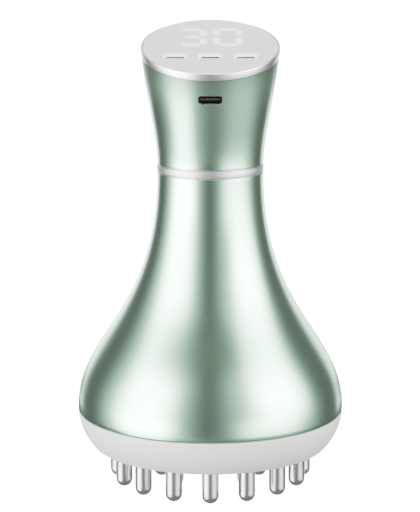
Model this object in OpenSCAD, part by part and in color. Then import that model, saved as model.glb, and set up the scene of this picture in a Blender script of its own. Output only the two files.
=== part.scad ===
// Bell-shaped hand massager: a head of steel pins below, a flared body with a slim waist,
// and a tilted control face on top. Heights are measured from the pin tips.

/* [Outline] */
// Largest radius of the bell
belly_r = 50; // [47:0.5:54]
// Height of the largest radius
belly_z = 28.4; // [26:0.1:31]
// Smallest radius, at the waist
waist_r = 19.75; // [18.5:0.25:22]
// Height of the middle of the waist band
waist_z = 119.1; // [114:0.1:124]
// How far the outline keeps upright above the belly
belly_pull = 27; // [22:0.2:33]
// How far the outline keeps upright below the waist
flare_pull = 53; // [46:0.2:60]
// Height of the control face on the axis
face_z = 163.9; // [160:0.1:170]
// Tilt of the control face, low at the front
face_tilt = 16.4; // [10:0.2:20]
// Radius of the neck at the highest point of the rim
rim_r = 26; // [25:0.25:28]
// How far the neck keeps upright above the waist
neck_pull = 11.7; // [5:0.1:15]
// How far the neck keeps upright below the rim
rim_pull = 19.5; // [13:0.1:25]
// Wall of the two painted shells
shell_wall = 2.4; // [2:0.1:2.8]
// Clearance between pieces that plug together
fit_gap = 0.15; // [0.1:0.05:0.25]

/* [Head] */
// Length of pin that shows below the head
pin_reach = 13.6; // [12:0.1:16]
// Radius of the skirt where it meets the underside
base_r = 44; // [42:0.5:46]
// Distance of the seam below the largest radius
seam_drop = 1.6; // [0.8:0.1:2.6]
// Rounding of the lower edge of the skirt
edge_round = 1.6; // [0.6:0.1:2.2]
// Thickness of the floor that carries the pins
floor_t = 2.6; // [2:0.1:3.4]
// Wall of the white skirt
head_wall = 2.6; // [2:0.1:3.2]
// Height of the lip that plugs into the bell
lip_h = 7; // [6.4:0.2:9]
// Thickness of the lip
lip_t = 3; // [2.6:0.1:3.6]
// How far the snap bead stands out from the lip
snap_bead = 0.5; // [0.3:0.05:0.7]
// Height of the snap bead
bead_h = 1.8; // [1.2:0.1:2]
// Distance of the bead below the top of the lip
bead_drop = 1; // [0.6:0.1:1.2]
// Height of the seal ring above the seam
seal_rise = 2; // [1.8:0.1:2.2]
// Thickness of the seal ring's cord
seal_d = 1.7; // [1.4:0.1:1.9]
// Clearance of the seal ring in its groove
seal_gap = 0.05; // [0.02:0.01:0.1]
// Height over which the skirt's wall runs into the lip
wall_blend = 3; // [2:0.5:4]

/* [Pins] */
// Diameter of a massage pin
pin_d = 6.2; // [5:0.1:7]
// Number of pins in the outer ring
outer_pins = 16; // [12:1:16]
// Radius of the outer ring of pins
outer_ring_r = 35; // [33.5:0.5:37]
// Number of pins in the inner ring
inner_pins = 8; // [5:1:8]
// Radius of the inner ring of pins
inner_ring_r = 18.5; // [16.5:0.5:20]
// Clearance round a pin in the floor
pin_gap = 0.1; // [0.05:0.05:0.2]
// Width of the collar beyond the pin
collar_w = 1.1; // [0.8:0.1:1.4]
// Thickness of the collar
collar_t = 1.6; // [1.2:0.1:2.2]
// Diameter of the tail soldered into the pin board
tail_d = 1.8; // [1.4:0.1:2.4]
// Solder end that stands above the pin board
tail_end = 0.6; // [0.4:0.1:1]

/* [Boards and screws] */
// Thickness of the large circuit boards
board_t = 1.6; // [1.2:0.1:2]
// Rim of the pin board outside the outer ring of pins
board_rim = 5.6; // [4.8:0.1:6.5]
// Radius of the posts that carry the pin board
board_post_r = 2.8; // [2.4:0.1:3]
// Floor left below the screw hole in such a post
post_floor = 1; // [0.6:0.1:1.4]
// Shank diameter of the small screws
screw_d = 2; // [1.6:0.1:2.2]
// Head diameter of the small screws
screw_head_d = 3.6; // [3:0.1:4]
// Head height of the small screws
screw_head_h = 1.2; // [0.9:0.1:1.5]
// Clearance round a screw shank
screw_gap = 0.05; // [0.02:0.01:0.1]
// Free depth beyond the end of a screw
screw_end = 0.6; // [0.4:0.1:1]

/* [Vibration motor] */
// Radius of the motor case
motor_r = 12.2; // [11.4:0.1:12.6]
// Length of the motor case
motor_len = 25; // [20:0.5:28]
// Diameter of the motor shaft
shaft_d = 2; // [1.6:0.1:3]
// Running clearance round the shaft
shaft_gap = 0.05; // [0.03:0.01:0.08]
// Length of the shaft inside the case
shaft_inside = 18; // [12:0.5:19]
// Play at the inner end of the shaft
shaft_end = 0.3; // [0.2:0.05:0.5]
// Radius of the bearing boss on the motor's face
motor_boss_r = 5; // [3.5:0.1:6]
// Height of the bearing boss
motor_boss_h = 1.6; // [1:0.1:2]
// Radius of the eccentric weight
weight_r = 9; // [7:0.1:11]
// Thickness of the eccentric weight
weight_h = 8; // [5:0.5:10]
// Radius of the weight's hub
weight_hub_r = 3.4; // [2.6:0.1:4.5]
// Free height between the pin board and the weight
weight_under = 8.4; // [5:0.2:10]
// Free height between the weight and the motor plate
weight_over = 3.2; // [2:0.1:4]
// Thickness of the steel plate that holds the motor
plate_t = 1.6; // [1:0.1:2]
// Radius of the ears of the motor plate
plate_ear_r = 4; // [3.4:0.1:5]
// Clearance of the weight on the shaft
press_gap = 0.01; // [0.01:0.005:0.02]
// Place of the motor's leads in front of the axis
motor_lead_y = -3; // [-4:0.5:-2]

/* [Inner frame] */
// Thickness of the frame's flange
flange_t = 2.5; // [2:0.1:3.5]
// Radius on which the shell bosses sit
boss_ring = 36; // [34:0.5:37]
// Radius of a shell boss
boss_r = 4; // [3.4:0.1:4.4]
// Rim of the flange beyond the bosses
flange_rim = 0.8; // [0.4:0.1:1]
// Depth of the screw hole in a shell boss
boss_hole = 7; // [5:0.5:8]
// Wall of the motor cup and the battery cradle
frame_wall = 1.8; // [1.4:0.1:2.2]
// Web between the motor and the battery
web_t = 2; // [1.5:0.1:3]
// Height of the gussets on the flange
gusset_h = 14; // [8:0.5:20]
// Flange left beyond the foot of a gusset
gusset_rim = 6; // [4:0.5:10]
// Thickness of gussets and fins
rib_t = 1.6; // [1.2:0.1:2.4]
// Angle that each window in the flange spans
window_angle = 46; // [30:1:50]
// Flange left between the motor cup and a window
window_in = 4.5; // [4:0.5:8]
// Flange left between a window and the bosses
window_out = 1.5; // [1:0.5:4]
// Clearance between the cradle's fins and the waist sleeve
fin_gap = 0.3; // [0.2:0.05:0.6]

/* [Battery] */
// Radius of the battery cell
cell_r = 9.2; // [8.5:0.1:9.4]
// Length of the battery cell
cell_len = 65; // [60:0.5:66]
// Clearance round the cell
cell_gap = 0.2; // [0.1:0.05:0.3]
// Thickness of the nickel tabs
tab_t = 0.3; // [0.2:0.05:0.5]
// Radius of the nickel tabs
tab_r = 6.2; // [5.8:0.1:8]
// Diameter of an insulated lead
lead_d = 1.2; // [0.8:0.1:1.4]
// Clearance round a lead
lead_gap = 0.1; // [0.05:0.05:0.2]
// Sideways place of the battery's leads
battery_lead_x = 3; // [2:0.1:3.4]
// Place of the battery's leads behind the axis
battery_lead_y = 4; // [3:0.1:4.2]

/* [Waist band] */
// Height of the polished band
band_h = 2.6; // [2:0.1:4]
// Height of the groove above and below the band
groove_h = 0.4; // [0.2:0.1:0.8]
// Depth of the grooves
groove_d = 0.7; // [0.4:0.1:1]
// How far the band stands out from the waist
band_proud = 0.1; // [0:0.05:0.4]
// Length of the sleeve inside each shell
sleeve_h = 8; // [5:0.5:10]
// Wall of the sleeve
sleeve_wall = 1.8; // [1.4:0.1:2]
// Free depth beyond a piece that plugs into a shell
land_gap = 0.5; // [0.3:0.1:1]

/* [Top bezel and control panel] */
// Height of the bezel, square to the face
bezel_h = 2.7; // [2.4:0.1:4]
// How far the bezel stands out from the neck
bezel_proud = 0.1; // [0.05:0.05:0.6]
// Width of the bezel's bright edge round the panel
bezel_rim = 0.6; // [0.4:0.1:1.2]
// Wall of the bezel's spigot
spigot_wall = 1.6; // [1.2:0.1:2]
// Length of the spigot inside the neck
spigot_h = 3; // [2:0.1:3.6]
// Thickness of the control panel
panel_t = 1.8; // [1.4:0.1:2]
// Clearance round the control panel
panel_gap = 0.1; // [0.05:0.05:0.2]
// Distance from the panel's underside to the control board
board_drop = 5.2; // [4.8:0.1:6]
// Radius of the control board
control_board_r = 19.5; // [18.8:0.1:20]
// Sideways place of the panel's screw posts
post_x = 15.6; // [15.2:0.1:16]
// Place of the lower pair of posts up the face
post_low_y = -3; // [-4:0.1:-2]
// Place of the upper pair of posts up the face
post_high_y = 8; // [7:0.1:8.5]
// Radius of a screw post
post_r = 1.9; // [1.6:0.1:2.2]
// Thickness left above the screw hole in a post
post_cap = 0.8; // [0.5:0.1:1.2]

/* [Buttons and display] */
// Width of a button
button_w = 9.5; // [8:0.1:10.5]
// Depth of a button up the face
button_d = 3.2; // [2.6:0.1:4]
// How far a button stands out from the face
button_h = 0.75; // [0.65:0.05:1.2]
// Distance between buttons
button_pitch = 12.8; // [12.4:0.1:13.2]
// Place of the row of buttons up the face
button_y = -9.8; // [-11.4:0.1:-9]
// Gap round a button in the panel
button_gap = 0.2; // [0.15:0.05:0.3]
// Width of the flange under a button
button_flange = 0.8; // [0.5:0.1:1]
// Thickness of that flange
button_flange_t = 0.9; // [0.6:0.1:1.2]
// Play between the flange and the panel
button_play = 0.1; // [0.05:0.05:0.2]
// Room round the flange of a button in the bezel
flange_room = 0.3; // [0.2:0.05:0.4]
// Travel of a button
button_travel = 0.5; // [0.3:0.05:0.6]
// Side of a switch body
switch_w = 4.6; // [4:0.1:6]
// Room between a pressed button and its switch
switch_room = 0.3; // [0.2:0.05:0.5]
// Diameter of the plunger
plunger_d = 3; // [2:0.1:3.4]
// Running clearance round a plunger
plunger_gap = 0.06; // [0.04:0.01:0.1]
// Depth to which a plunger dips into its switch at rest
plunger_dip = 0.3; // [0.2:0.05:0.5]
// Play between a plunger at the end of its travel and the switch
plunger_end = 0.2; // [0.1:0.05:0.3]
// Width of the display module
display_w = 24.6; // [22:0.2:26]
// Height of the display module up the face
display_l = 17.6; // [16:0.2:18]
// Place of the display's middle up the face
display_y = 8.8; // [8.2:0.1:9.6]
// Gap between the display and the panel
display_gap = 0.2; // [0.1:0.05:0.4]
// Rim round each well of the display
display_rim = 0.8; // [0.5:0.1:1.2]
// Depth of the display's wells
display_well = 1; // [0.5:0.1:2]
// Room round the display in the bezel
display_room = 0.3; // [0.2:0.05:0.4]

/* [Charging socket] */
// Distance of the socket below the face's height on the axis
socket_drop = 17.1; // [16.5:0.1:18.5]
// Width of the slot in the neck
slot_w = 8.7; // [8.4:0.1:9.4]
// Height of the slot in the neck
slot_h = 3.2; // [2.8:0.1:3.6]
// Corner radius of the slot
slot_corner = 0.9; // [0.4:0.1:1.3]
// Outer width of the socket's steel shell
socket_w = 8.94; // [8.5:0.02:9.2]
// Outer height of the socket's steel shell
socket_h = 3.26; // [3:0.02:3.4]
// Length of the socket
socket_len = 7.35; // [6.5:0.05:9]
// Wall of the socket's steel shell
socket_wall = 0.3; // [0.2:0.05:0.4]
// Width of the contact tongue
tongue_w = 6.7; // [6:0.1:7]
// Thickness of the contact tongue
tongue_t = 0.7; // [0.5:0.05:0.9]
// Distance of the tongue behind the socket's mouth
tongue_inset = 1; // [0.6:0.1:1.6]
// Thickness of the socket's closed back
socket_back = 0.8; // [0.5:0.1:1.2]
// Width of the charging board
charge_board_w = 16; // [14:0.5:17]
// Length of the charging board
charge_board_l = 11.5; // [10.5:0.1:12]
// Thickness of the charging board
charge_board_t = 1; // [0.8:0.1:1.2]
// Room between the charging board and the neck's inner wall
charge_board_gap = 0.3; // [0.2:0.05:0.5]
// Board left beside a screw head
board_edge = 0.3; // [0.2:0.05:0.6]
// Thickness of the shelf inside the neck
shelf_t = 2; // [1.6:0.1:2.6]
// Rim of the shelf beyond the charging board
shelf_rim = 1; // [0.6:0.1:1.2]

/* [Hidden] */
$fn = 72;
eps = 0.01;
// how far a cutting body reaches past a surface
over = 1;
// half the side of a block that is larger than the whole top
span = 60;
bell_steps = 28;
neck_steps = 20;
skirt_steps = 12;
edge_steps = 6;

// levels, from the pin tips up
seam_z = belly_z - seam_drop;
floor_z = pin_reach + floor_t;
pin_board_z = floor_z + collar_t;
pin_board_top = pin_board_z + board_t;
weight_z = pin_board_top + weight_under;
frame_z = weight_z + weight_h + weight_over + plate_t;
flange_top = frame_z + flange_t;
web_z = frame_z + motor_len + cell_gap;
cell_z = web_z + web_t + tab_t;
cell_top = cell_z + cell_len;
cradle_top = cell_top + tab_t + frame_wall;
bell_top_z = waist_z - band_h / 2 - groove_h;
neck_low_z = waist_z + band_h / 2 + groove_h;
rim_z = face_z + rim_r * tan(face_tilt) + over;
socket_z = face_z - socket_drop;
charge_board_z = socket_z - socket_h / 2 - charge_board_t;

// depths below the control face, square to it
control_board_top = panel_t + board_drop;
control_board_under = control_board_top + board_t;
flange_depth = panel_t + button_play;
plunger_top = flange_depth + button_flange_t;
switch_top = plunger_top + button_travel + switch_room;
plunger_tip = switch_top + plunger_dip;
switch_well = plunger_tip + button_travel + plunger_end;

// radii
pin_r = pin_d / 2;
pin_board_r = outer_ring_r + board_rim;
board_screw_ring = (outer_ring_r + inner_ring_r) / 2;
sleeve_r = waist_r - shell_wall - fit_gap;
sleeve_in_r = sleeve_r - sleeve_wall;
flange_r = boss_ring + boss_r + flange_rim;
cup_r = motor_r + cell_gap + frame_wall;
cradle_r = cell_r + cell_gap + frame_wall;
plate_screw_x = cup_r + plate_ear_r;
motor_lead_x = cell_r + cell_gap + lead_d / 2;

// the skirt is an arc, upright at the belly, that ends in a small round at the underside
skirt_dx = belly_r - base_r;
skirt_dz = belly_z - pin_reach;
skirt_arc = (skirt_dx * skirt_dx + skirt_dz * skirt_dz) / (2 * skirt_dx);
skirt_mid = [belly_r - skirt_arc, belly_z];
seam_angle = -asin(seam_drop / skirt_arc);
edge_angle = -asin((skirt_dz - edge_round) / (skirt_arc - edge_round));
edge_mid = skirt_mid + (skirt_arc - edge_round) * [cos(edge_angle), sin(edge_angle)];
seam_r = skirt_mid[0] + skirt_arc * cos(seam_angle);

// joint between the bell and the head
lip_bore_r = seam_r - shell_wall;
lip_r = lip_bore_r - fit_gap;
lip_in_r = lip_r - lip_t;
seal_z = seam_z + seal_rise;
seal_slot_h = seal_d + 2 * seal_gap;
seal_slot_r = lip_bore_r - seal_d - 2 * seal_gap;
bead_z = seam_z + lip_h - bead_drop - bead_h;

// angles of the pins start at the front
function ring_angle(i, count) = -90 + 360 * i / count;
function pin_name(ring, i) = str(ring, "_pin_", i < 9 ? "0" : "", i + 1);

OUTER_NAMES = [for (i = [0:outer_pins - 1]) pin_name("outer", i)];
INNER_NAMES = [for (i = [0:inner_pins - 1]) pin_name("inner", i)];
SIDES = ["left", "middle", "right"];

// outline curves
function bezier(a, b, c, d, t) =
    pow(1 - t, 3) * a + 3 * pow(1 - t, 2) * t * b + 3 * (1 - t) * t * t * c + pow(t, 3) * d;
function curve(a, b, c, d, steps) = [for (i = [0:steps]) bezier(a, b, c, d, i / steps)];
// the points of an arc, without its last
function arc(mid, r, from, to, steps) =
    [for (i = [0:steps - 1]) let (a = from + (to - from) * i / steps) mid + r * [cos(a), sin(a)]];
function inset(points, t) = [for (p = points) [p[0] - t, p[1]]];
function closed(points) =
    concat([[0, points[0][1]]], points, [[0, points[len(points) - 1][1]]]);

bell_curve = concat(
    [[seam_r, seam_z]],
    curve(
        [belly_r, belly_z],
        [belly_r, belly_z + belly_pull],
        [waist_r, bell_top_z - flare_pull],
        [waist_r, bell_top_z],
        bell_steps
    )
);
neck_curve = curve(
    [waist_r, neck_low_z],
    [waist_r, neck_low_z + neck_pull],
    [rim_r, rim_z - rim_pull],
    [rim_r, rim_z],
    neck_steps
);

// the solid neck outline, t below its surface
module neck_solid(t) {
    rotate_extrude() polygon(closed(inset(neck_curve, t)));
}

module bell_solid(t) {
    rotate_extrude() polygon(closed(inset(bell_curve, t)));
}

// places children on the control face, with y up the face and z out of it
module on_face() {
    translate([0, 0, face_z]) rotate([face_tilt, 0, 0]) children();
}

// the slab that lies between two depths below the control face
module between(from, to) {
    on_face() translate([-span, -span, -to]) cube([2 * span, 2 * span, to - from]);
}

module at_ring(r, angle) {
    translate([r * cos(angle), r * sin(angle), 0]) children();
}

module tube(r_out, r_in, z, h) {
    translate([0, 0, z]) difference() {
        cylinder(r = r_out, h = h);
        translate([0, 0, -eps]) cylinder(r = r_in, h = h + 2 * eps);
    }
}

module rounded_slot(w, d, corner) {
    difference() {
        square([w, d], center = true);
        for (sx = [-1, 1], sy = [-1, 1]) {
            translate([sx * (w / 2 - corner), sy * (d / 2 - corner)]) difference() {
                translate([sx > 0 ? 0 : -2 * corner, sy > 0 ? 0 : -2 * corner])
                    square(2 * corner);
                circle(r = corner);
            }
        }
    }
}

module pill(w, d) {
    square([w - d, d], center = true);
    for (s = [-1, 1]) {
        translate([s * (w - d) / 2, 0]) circle(d = d);
    }
}

// a small screw that points up, with the underside of its head at z = 0
module screw(shank) {
    translate([0, 0, -screw_head_h]) difference() {
        cylinder(d = screw_head_d, h = screw_head_h);
        translate([0, 0, -eps]) cylinder(d = screw_head_d / 2, h = screw_head_h / 2, $fn = 6);
    }
    cylinder(d = screw_d, h = shank);
}

// Housing

module bell_shell() {
    land_z = bell_top_z - sleeve_h - land_gap;
    lip_top = seam_z + lip_h + land_gap;
    color("DarkSeaGreen") {
        difference() {
            bell_solid(0);
            intersection() {
                bell_solid(shell_wall);
                translate([0, 0, lip_top - eps]) cylinder(r = belly_r, h = land_z - lip_top);
            }
            translate([0, 0, seam_z - over]) cylinder(r = lip_bore_r, h = lip_top - seam_z + over);
            translate([0, 0, land_z - over])
                cylinder(r = sleeve_r + fit_gap, h = bell_top_z - land_z + 2 * over);
            bead_groove();
        }
        for (i = [0:3]) {
            shell_boss(45 + 90 * i);
        }
    }
}

module bead_groove() {
    rotate_extrude() translate([lip_bore_r - over, bead_z - fit_gap])
        square([over + snap_bead, bead_h + 2 * fit_gap]);
}

module shell_boss(angle) {
    difference() {
        intersection() {
            at_ring(boss_ring, angle) translate([0, 0, flange_top]) cylinder(r = boss_r, h = span);
            bell_solid(shell_wall / 2);
        }
        at_ring(boss_ring, angle) translate([0, 0, flange_top - eps])
            cylinder(d = screw_d + 2 * screw_gap, h = boss_hole);
    }
}

module neck_shell() {
    land_top = neck_low_z + sleeve_h + land_gap;
    color("DarkSeaGreen") {
        difference() {
            intersection() {
                neck_solid(0);
                between(bezel_h, 2 * span);
            }
            intersection() {
                neck_solid(shell_wall);
                translate([0, 0, land_top - eps]) cylinder(r = span, h = span);
            }
            translate([0, 0, neck_low_z - over])
                cylinder(r = sleeve_r + fit_gap, h = land_top - neck_low_z + over);
            usb_slot();
        }
        charging_shelf();
    }
}

module usb_slot() {
    translate([0, 0, socket_z]) rotate([90, 0, 0]) linear_extrude(span)
        rounded_slot(slot_w, slot_h, slot_corner);
}

module charging_shelf() {
    back = shelf_rim - charge_board_back();
    difference() {
        intersection() {
            neck_solid(shell_wall / 2);
            translate([-charge_board_w / 2 - shelf_rim, -span, charge_board_z - shelf_t])
                cube([charge_board_w + 2 * shelf_rim, span + back, shelf_t]);
        }
        charging_screw_places() translate([0, 0, -shelf_t - eps])
            cylinder(d = screw_d + 2 * screw_gap, h = shelf_t + 2 * eps);
    }
}

// the front edge of the charging board stays clear of the neck's inner wall
function neck_in_r(z) = lookup(z, [for (p = neck_curve) [p[1], p[0] - shell_wall]]);
function chord_y(r, w) = sqrt(r * r - w * w / 4);
function charge_board_front() = chord_y(neck_in_r(charge_board_z), charge_board_w) - charge_board_gap;
function charge_board_back() = charge_board_front() - charge_board_l;
function socket_front() = chord_y(neck_in_r(socket_z - socket_h / 2), socket_w) - fit_gap;

module charging_screw_places() {
    margin = screw_head_d / 2 + board_edge;
    for (s = [-1, 1]) {
        translate([s * (charge_board_w / 2 - margin), -charge_board_back() - margin, charge_board_z])
            children();
    }
}

// a sleeve that joins the two shells, with a step under the grooves and the polished band
module waist_ring() {
    step_h = band_h + 2 * groove_h;
    color("Gainsboro") {
        tube(sleeve_r, sleeve_in_r, bell_top_z - sleeve_h, step_h + 2 * sleeve_h);
        tube(waist_r - groove_d, sleeve_in_r, bell_top_z, step_h);
        tube(waist_r + band_proud, sleeve_in_r, waist_z - band_h / 2, band_h);
    }
}

// the bezel is cut away inside, round the flanges of the outer buttons and the display's corners
module top_bezel() {
    inside = shell_wall + fit_gap + spigot_wall;
    relief_w = button_flange + flange_room;
    relief_depth = plunger_top + button_travel + flange_room;
    color("Silver") difference() {
        union() {
            intersection() {
                neck_solid(-bezel_proud);
                between(0, bezel_h);
            }
            intersection() {
                neck_solid(shell_wall + fit_gap);
                between(bezel_h - eps, bezel_h + spigot_h);
            }
        }
        intersection() {
            neck_solid(bezel_rim);
            between(-over, panel_t);
        }
        neck_solid(inside);
        button_places() translate([0, 0, -relief_depth]) linear_extrude(relief_depth)
            pill(button_w + 2 * relief_w, button_d + 2 * relief_w);
        on_face() translate([0, display_y, -control_board_top]) linear_extrude(board_drop)
            square([display_w + 2 * display_room, display_l + 2 * display_room], center = true);
    }
}

module control_panel() {
    color("Gainsboro") {
        difference() {
            intersection() {
                neck_solid(bezel_rim + panel_gap);
                between(0, panel_t);
            }
            button_places() translate([0, 0, -panel_t - over]) linear_extrude(panel_t + 2 * over)
                pill(button_w + 2 * button_gap, button_d + 2 * button_gap);
        }
        on_face() post_places() translate([0, 0, -control_board_top]) difference() {
            cylinder(r = post_r, h = board_drop + eps);
            translate([0, 0, -eps])
                cylinder(d = screw_d + 2 * screw_gap, h = board_drop - post_cap + eps);
        }
    }
}

module post_places() {
    for (s = [-1, 1], y = [post_low_y, post_high_y]) {
        translate([s * post_x, y, 0]) children();
    }
}

module button_place(i) {
    on_face() translate([(i - 1) * button_pitch, button_y, 0]) children();
}

module button_places() {
    for (i = [0:2]) {
        button_place(i) children();
    }
}

// Controls under the panel

module control_board() {
    color("DarkGreen") on_face() difference() {
        translate([0, 0, -control_board_under]) cylinder(r = control_board_r, h = board_t);
        post_places() translate([0, 0, -control_board_under - eps])
            cylinder(d = screw_d + 2 * screw_gap, h = board_t + 2 * eps);
    }
}

module board_screws() {
    color("Silver") on_face() post_places() translate([0, 0, -control_board_under])
        screw(board_t + board_drop - post_cap - screw_end);
}

module display_module() {
    depth = board_drop - display_gap;
    well_w = display_w / 2 - 2 * display_rim;
    color("DimGray") on_face() translate([0, display_y, -control_board_top]) difference() {
        translate([-display_w / 2, -display_l / 2, 0]) cube([display_w, display_l, depth]);
        for (s = [-1, 1]) {
            translate([s * display_w / 4 - well_w / 2, display_rim - display_l / 2, depth - display_well])
                cube([well_w, display_l - 2 * display_rim, display_well + over]);
        }
    }
}

module switch_body(i) {
    color("DarkSlateGray") button_place(i) difference() {
        translate([-switch_w / 2, -switch_w / 2, -control_board_top])
            cube([switch_w, switch_w, control_board_top - switch_top]);
        translate([0, 0, -switch_well])
            cylinder(d = plunger_d + 2 * plunger_gap, h = switch_well);
    }
}

module button(i) {
    color("WhiteSmoke") button_place(i) {
        translate([0, 0, -flange_depth]) linear_extrude(flange_depth + button_h)
            pill(button_w, button_d);
        translate([0, 0, -plunger_top]) linear_extrude(button_flange_t)
            pill(button_w + 2 * button_flange, button_d + 2 * button_flange);
    }
}

module plunger(i) {
    color("DimGray") button_place(i) translate([0, 0, -plunger_tip])
        cylinder(d = plunger_d, h = plunger_tip - plunger_top);
}

// Charging socket

module charging_board() {
    color("DarkGreen") difference() {
        translate([-charge_board_w / 2, -charge_board_front(), charge_board_z])
            cube([charge_board_w, charge_board_l, charge_board_t]);
        charging_screw_places() translate([0, 0, -eps])
            cylinder(d = screw_d + 2 * screw_gap, h = charge_board_t + 2 * eps);
    }
}

module charging_screws() {
    color("Silver") charging_screw_places() translate([0, 0, charge_board_t]) mirror([0, 0, 1])
        screw(charge_board_t + shelf_t);
}

module at_socket() {
    translate([0, -socket_front(), socket_z]) rotate([90, 0, 0]) mirror([0, 0, 1]) children();
}

module usb_socket() {
    color("Silver") at_socket() difference() {
        linear_extrude(socket_len) pill(socket_w, socket_h);
        translate([0, 0, -eps]) linear_extrude(socket_len - socket_back + eps)
            pill(socket_w - 2 * socket_wall, socket_h - 2 * socket_wall);
    }
}

module usb_tongue() {
    color("Black") at_socket() translate([-tongue_w / 2, -tongue_t / 2, tongue_inset])
        cube([tongue_w, tongue_t, socket_len - socket_back - tongue_inset]);
}

// Inner frame with motor cup and battery cradle

module inner_frame() {
    color("LightSteelBlue") difference() {
        union() {
            translate([0, 0, frame_z]) cylinder(r = flange_r, h = flange_t);
            translate([0, 0, frame_z]) cylinder(r = cup_r, h = web_z + web_t - frame_z);
            gussets();
            battery_cradle();
        }
        translate([0, 0, frame_z - eps])
            cylinder(r = motor_r + cell_gap, h = motor_len + cell_gap + eps);
        flange_windows();
        frame_screw_places() translate([0, 0, -eps])
            cylinder(d = screw_d + 2 * screw_gap, h = flange_t + 2 * eps);
        motor_screw_places() translate([0, 0, -eps])
            cylinder(d = screw_d + 2 * screw_gap, h = flange_t + 2 * eps);
        motor_lead_places() translate([0, 0, web_z - eps])
            cylinder(d = lead_d + 2 * lead_gap, h = web_t + 2 * eps);
    }
}

module gussets() {
    root = cup_r - frame_wall / 2;
    for (i = [0:3]) {
        rotate(90 * i) translate([0, rib_t / 2, flange_top - eps]) rotate([90, 0, 0])
            linear_extrude(rib_t) polygon([[root, 0], [flange_r - gusset_rim, 0], [root, gusset_h]]);
    }
}

// four kidney windows between the gussets
module flange_windows() {
    r_in = cup_r + window_in;
    r_out = boss_ring - boss_r - window_out;
    for (i = [0:3]) {
        rotate(90 * i + 45 - window_angle / 2) translate([0, 0, frame_z - eps])
            rotate_extrude(angle = window_angle) translate([r_in, 0])
                square([r_out - r_in, flange_t + 2 * eps]);
    }
}

// a half pipe behind the cell with a plate over its top, and fins that centre it in the waist
module battery_cradle() {
    base = web_z + web_t;
    height = cradle_top - base;
    difference() {
        union() {
            translate([0, 0, base - eps]) cylinder(r = cradle_r, h = height + eps);
            for (angle = [30, 90, 150]) {
                rotate(angle) translate([cell_r + cell_gap, -rib_t / 2, bell_top_z - sleeve_h])
                    cube([sleeve_in_r - fin_gap - cell_r - cell_gap, rib_t, 2 * sleeve_h]);
            }
        }
        translate([0, 0, base]) cylinder(r = cell_r + cell_gap, h = cell_top + tab_t - base);
        translate([-span, -2 * span, base]) cube([2 * span, 2 * span, height + over]);
        battery_lead_places() cylinder(d = lead_d + 2 * lead_gap, h = frame_wall + over);
    }
}

module frame_screw_places() {
    for (i = [0:3]) {
        at_ring(boss_ring, 45 + 90 * i) translate([0, 0, frame_z]) children();
    }
}

module frame_screws() {
    color("Silver") frame_screw_places() screw(flange_t + boss_hole - screw_end);
}

module battery_cell() {
    color("RoyalBlue") translate([0, 0, cell_z]) cylinder(r = cell_r, h = cell_len);
}

module battery_tabs() {
    color("Silver") for (z = [cell_z - tab_t, cell_top]) {
        translate([0, 0, z]) cylinder(r = tab_r, h = tab_t);
    }
}

module battery_lead_places() {
    for (s = [-1, 1]) {
        translate([s * battery_lead_x, battery_lead_y, cell_top + tab_t]) children();
    }
}

module battery_leads() {
    color("Crimson") difference() {
        battery_lead_places() cylinder(d = lead_d, h = span);
        between(-2 * span, control_board_under);
    }
}

// Vibration motor

module motor_case() {
    color("Silver") difference() {
        union() {
            translate([0, 0, frame_z]) cylinder(r = motor_r, h = motor_len);
            translate([0, 0, frame_z - motor_boss_h]) cylinder(r = motor_boss_r, h = motor_boss_h + eps);
        }
        translate([0, 0, frame_z - motor_boss_h - eps])
            cylinder(d = shaft_d + 2 * shaft_gap, h = motor_boss_h + shaft_inside + shaft_end + eps);
    }
}

module motor_screw_places() {
    for (s = [-1, 1]) {
        translate([s * plate_screw_x, 0, frame_z]) children();
    }
}

module motor_plate() {
    color("Gray") translate([0, 0, frame_z - plate_t]) difference() {
        union() {
            cylinder(r = cup_r, h = plate_t);
            for (s = [-1, 1]) {
                translate([s * plate_screw_x, 0, 0]) cylinder(r = plate_ear_r, h = plate_t);
            }
            translate([-plate_screw_x, -plate_ear_r, 0])
                cube([2 * plate_screw_x, 2 * plate_ear_r, plate_t]);
        }
        translate([0, 0, -eps]) cylinder(r = motor_boss_r + fit_gap, h = plate_t + 2 * eps);
        for (s = [-1, 1]) {
            translate([s * plate_screw_x, 0, -eps])
                cylinder(d = screw_d + 2 * screw_gap, h = plate_t + 2 * eps);
        }
    }
}

module motor_screws() {
    color("Silver") motor_screw_places() translate([0, 0, -plate_t])
        screw(plate_t + flange_t);
}

module motor_shaft() {
    color("DarkGray") translate([0, 0, weight_z])
        cylinder(d = shaft_d, h = frame_z - weight_z + shaft_inside);
}

module eccentric_weight() {
    color("DarkGoldenrod") translate([0, 0, weight_z]) difference() {
        union() {
            cylinder(r = weight_hub_r, h = weight_h);
            intersection() {
                cylinder(r = weight_r, h = weight_h);
                translate([-weight_r, 0, 0]) cube([2 * weight_r, weight_r, weight_h]);
            }
        }
        translate([0, 0, -eps]) cylinder(d = shaft_d + 2 * press_gap, h = weight_h + 2 * eps);
    }
}

module motor_lead_places() {
    for (s = [-1, 1]) {
        translate([s * motor_lead_x, motor_lead_y, 0]) children();
    }
}

module motor_leads() {
    color("DarkRed") difference() {
        motor_lead_places() translate([0, 0, frame_z + motor_len]) cylinder(d = lead_d, h = 2 * span);
        between(-2 * span, control_board_under);
    }
}

// Head

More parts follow.
